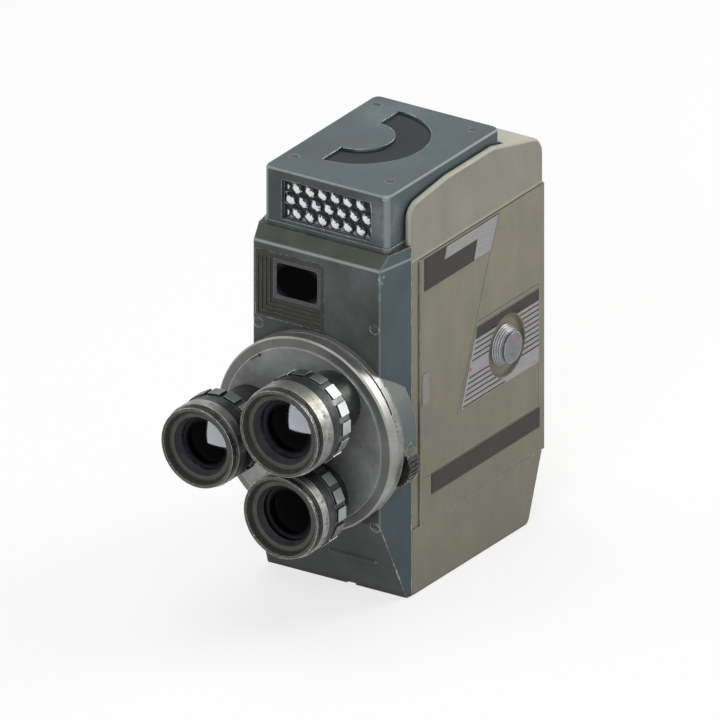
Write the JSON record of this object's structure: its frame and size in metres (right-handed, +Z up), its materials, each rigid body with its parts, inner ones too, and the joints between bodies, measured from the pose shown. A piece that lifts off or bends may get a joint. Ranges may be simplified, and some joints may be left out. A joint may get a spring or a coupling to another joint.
{
  "type": "movie camera",
  "caption": "Hand-held cine camera: tall body, round front turret with lenses, light meter housing on top, side door over two spools, spring motor with folding key.",
  "frame": {"origin": "mouth of the tripod socket, in the plane of the base's underside", "axes": "+Z up through the camera, -Y along the lens axes to the front, +X towards the film door"},
  "size_m": [0.0764, 0.1526, 0.157],
  "materials": {
    "beige_paint": "satin hammered enamel",
    "case_paint": "satin enamel",
    "door_paint": "satin enamel",
    "works_paint": "satin enamel",
    "cover_paint": "satin enamel, worn edges",
    "housing_paint": "satin enamel, worn edges",
    "turret_metal": "grey paint, worn bright edges",
    "seat_metal": "turned",
    "barrel_metal": "black anodised, turned",
    "scale_metal": "satin turned",
    "grip_metal": "black anodised, pads bare",
    "lens_glass": "coated lens",
    "bezel_paint": "satin",
    "finder_glass": "clear",
    "meter_glass": "clear",
    "dial_glass": "clear",
    "comb_glass": "moulded lenslets",
    "cell_face": "selenium cell",
    "dial_card": "printed card",
    "movement_case": "plain",
    "name_face": "satin",
    "stripe_face": "satin, dark stripes",
    "lower_face": "satin",
    "label_face": "printed",
    "knob_metal": "satin turned",
    "wheel_metal": "knurled, worn black",
    "release_black": "satin",
    "screw_steel": "nickel plated",
    "works_steel": "plain",
    "works_brass": "turned",
    "black_metal": "matt black",
    "spool_metal": "black enamel",
    "key_metal": "plated",
    "eyepiece_black": "satin",
    "needle_paint": "red enamel",
    "dial_black": "black anodised"
  },
  "bodies": {
    "camera": {"main_casting": "beige_paint", "base_casting": "beige_paint", "top_case": "case_paint", "mechanism_cover": "works_paint", "front_cover": "cover_paint", "turret_seat_ring": "seat_metal", "viewfinder_bezel": "bezel_paint", "viewfinder_window": "finder_glass", "viewfinder_tube": "black_metal", "viewfinder_eyepiece": "eyepiece_black", "eyepiece_lens": "finder_glass", "meter_housing": "housing_paint", "honeycomb_lens": "comb_glass", "meter_cell": "cell_face", "meter_window": "meter_glass", "meter_dial": "dial_card", "meter_movement": "movement_case", "gate_plate": "black_metal", "turret_pivot": "works_steel", "tripod_bush": "works_brass", "mechanism_plate": "works_steel", "cover_screws": "screw_steel", "housing_screws": "screw_steel", "side_screws": "screw_steel", "film_guides": "works_steel", "footage_window": "dial_glass", "supply_spindle": "works_steel"},
    "turret": {"turret_disc": "turret_metal", "normal_barrel": "barrel_metal", "normal_glass": "lens_glass", "tele_barrel": "barrel_metal", "tele_glass": "lens_glass", "wide_barrel": "barrel_metal", "wide_glass": "lens_glass"},
    "normal_scale": {"normal_scale_ring": "scale_metal"},
    "normal_grip": {"normal_grip_ring": "grip_metal"},
    "tele_scale": {"tele_scale_ring": "scale_metal"},
    "tele_grip": {"tele_grip_ring": "grip_metal"},
    "wide_scale": {"wide_scale_ring": "scale_metal"},
    "wide_grip": {"wide_grip_ring": "grip_metal"},
    "door": {"film_door": "door_paint", "nameplate": "name_face", "stripe_plate": "stripe_face", "lower_plate": "lower_face", "edge_label": "label_face"},
    "lock": {"lock_knob": "knob_metal"},
    "release": {"release_button": "release_black"},
    "wheel": {"thumbwheel": "wheel_metal"},
    "winding_key": {"winding_key_hub": "key_metal"},
    "key_handle": {"winding_key_handle": "key_metal"},
    "mainspring": {"spring_barrel": "works_brass"},
    "idler": {"intermediate_gear": "works_brass"},
    "shutter_disc": {"shutter": "black_metal"},
    "takeup": {"takeup_spindle": "works_steel", "takeup_spool": "spool_metal"},
    "supply": {"supply_spool": "spool_metal"},
    "pressure": {"pressure_plate": "black_metal"},
    "needle": {"meter_needle": "needle_paint"},
    "footage": {"footage_dial": "dial_black"},
    "speed": {"speed_dial": "dial_black"}
  },
  "joints": [
    {"name": "turret_turn", "type": "hinge", "parent": "camera", "child": "turret", "pos_m": [0.00001, -0.0591, 0.0643], "axis": [0, -1, 0], "continuous": true},
    {"name": "normal_aperture_turn", "type": "hinge", "parent": "turret", "child": "normal_scale", "pos_m": [0.0133, -0.0921, 0.08132], "axis": [0, -1, 0], "range_deg": [-60, 60]},
    {"name": "normal_focus_turn", "type": "hinge", "parent": "turret", "child": "normal_grip", "pos_m": [0.0133, -0.0803, 0.08132], "axis": [0, -1, 0], "range_deg": [-120, 120]},
    {"name": "tele_aperture_turn", "type": "hinge", "parent": "turret", "child": "tele_scale", "pos_m": [-0.02138, -0.0917, 0.06731], "axis": [0, -1, 0], "range_deg": [-60, 60]},
    {"name": "tele_focus_turn", "type": "hinge", "parent": "turret", "child": "tele_grip", "pos_m": [-0.02138, -0.082, 0.06731], "axis": [0, -1, 0], "range_deg": [-120, 120]},
    {"name": "wide_aperture_turn", "type": "hinge", "parent": "turret", "child": "wide_scale", "pos_m": [0.00809, -0.083, 0.04428], "axis": [0, -1, 0], "range_deg": [-60, 60]},
    {"name": "wide_focus_turn", "type": "hinge", "parent": "turret", "child": "wide_grip", "pos_m": [0.00809, -0.074, 0.04428], "axis": [0, -1, 0], "range_deg": [-120, 120]},
    {"name": "door_lift", "type": "slide", "parent": "camera", "child": "door", "axis": [1, 0, 0], "range_m": [0, 0.06]},
    {"name": "lock_turn", "type": "hinge", "parent": "door", "child": "lock", "pos_m": [0.0287, 0.0273, 0.074], "axis": [1, 0, 0], "range_deg": [0, 90]},
    {"name": "release_press", "type": "slide", "parent": "camera", "child": "release", "axis": [0, 1, 0], "range_m": [0, 0.0015], "stiffness_N_per_m": 400, "springref_m": -0.002},
    {"name": "thumbwheel_turn", "type": "hinge", "parent": "camera", "child": "wheel", "pos_m": [0.03018, -0.04565, 0.05622], "axis": [0, -1, 0], "range_deg": [-135, 135]},
    {"name": "key_turn", "type": "hinge", "parent": "camera", "child": "winding_key", "pos_m": [-0.0299, 0.0093, 0.07709], "axis": [1, 0, 0], "continuous": true},
    {"name": "handle_fold", "type": "hinge", "parent": "winding_key", "child": "key_handle", "pos_m": [-0.0334, 0.0093, 0.07709], "axis": [0, 1, 0], "range_deg": [0, 180]},
    {"name": "mainspring_turn", "type": "hinge", "parent": "camera", "child": "mainspring", "pos_m": [-0.026, 0.0093, 0.07709], "axis": [1, 0, 0], "continuous": true},
    {"name": "idler_turn", "type": "hinge", "parent": "camera", "child": "idler", "pos_m": [-0.008, -0.02, 0.08132], "axis": [1, 0, 0], "continuous": true},
    {"name": "shutter_turn", "type": "hinge", "parent": "camera", "child": "shutter_disc", "pos_m": [-0.00092, -0.039, 0.08132], "axis": [0, 1, 0], "continuous": true},
    {"name": "takeup_turn", "type": "hinge", "parent": "camera", "child": "takeup", "pos_m": [0.0072, -0.0015, 0.053], "axis": [1, 0, 0], "continuous": true},
    {"name": "supply_turn", "type": "hinge", "parent": "camera", "child": "supply", "pos_m": [0.0072, 0.0252, 0.09975], "axis": [1, 0, 0], "continuous": true},
    {"name": "pressure_slide", "type": "slide", "parent": "camera", "child": "pressure", "axis": [0, 1, 0], "range_m": [0, 0.002], "stiffness_N_per_m": 100, "springref_m": -0.002},
    {"name": "needle_swing", "type": "hinge", "parent": "camera", "child": "needle", "pos_m": [-0.0115, -0.0038, 0.15155], "axis": [0, 0, 1], "range_deg": [-70, 70], "stiffness_Nm_per_rad": 0.00002},
    {"name": "footage_turn", "type": "hinge", "parent": "camera", "child": "footage", "pos_m": [-0.0272, 0.034, 0.1], "axis": [1, 0, 0], "range_deg": [0, 300]},
    {"name": "speed_turn", "type": "hinge", "parent": "camera", "child": "speed", "pos_m": [-0.0299, -0.018, 0.103], "axis": [1, 0, 0], "range_deg": [-150, 150]}
  ],
  "couplings": [
    {"joint": "takeup_turn", "follows": "mainspring_turn", "ratio": -3.125},
    {"joint": "idler_turn", "follows": "mainspring_turn", "ratio": -2.0833},
    {"joint": "shutter_turn", "follows": "mainspring_turn", "ratio": 4.1667}
  ]
}
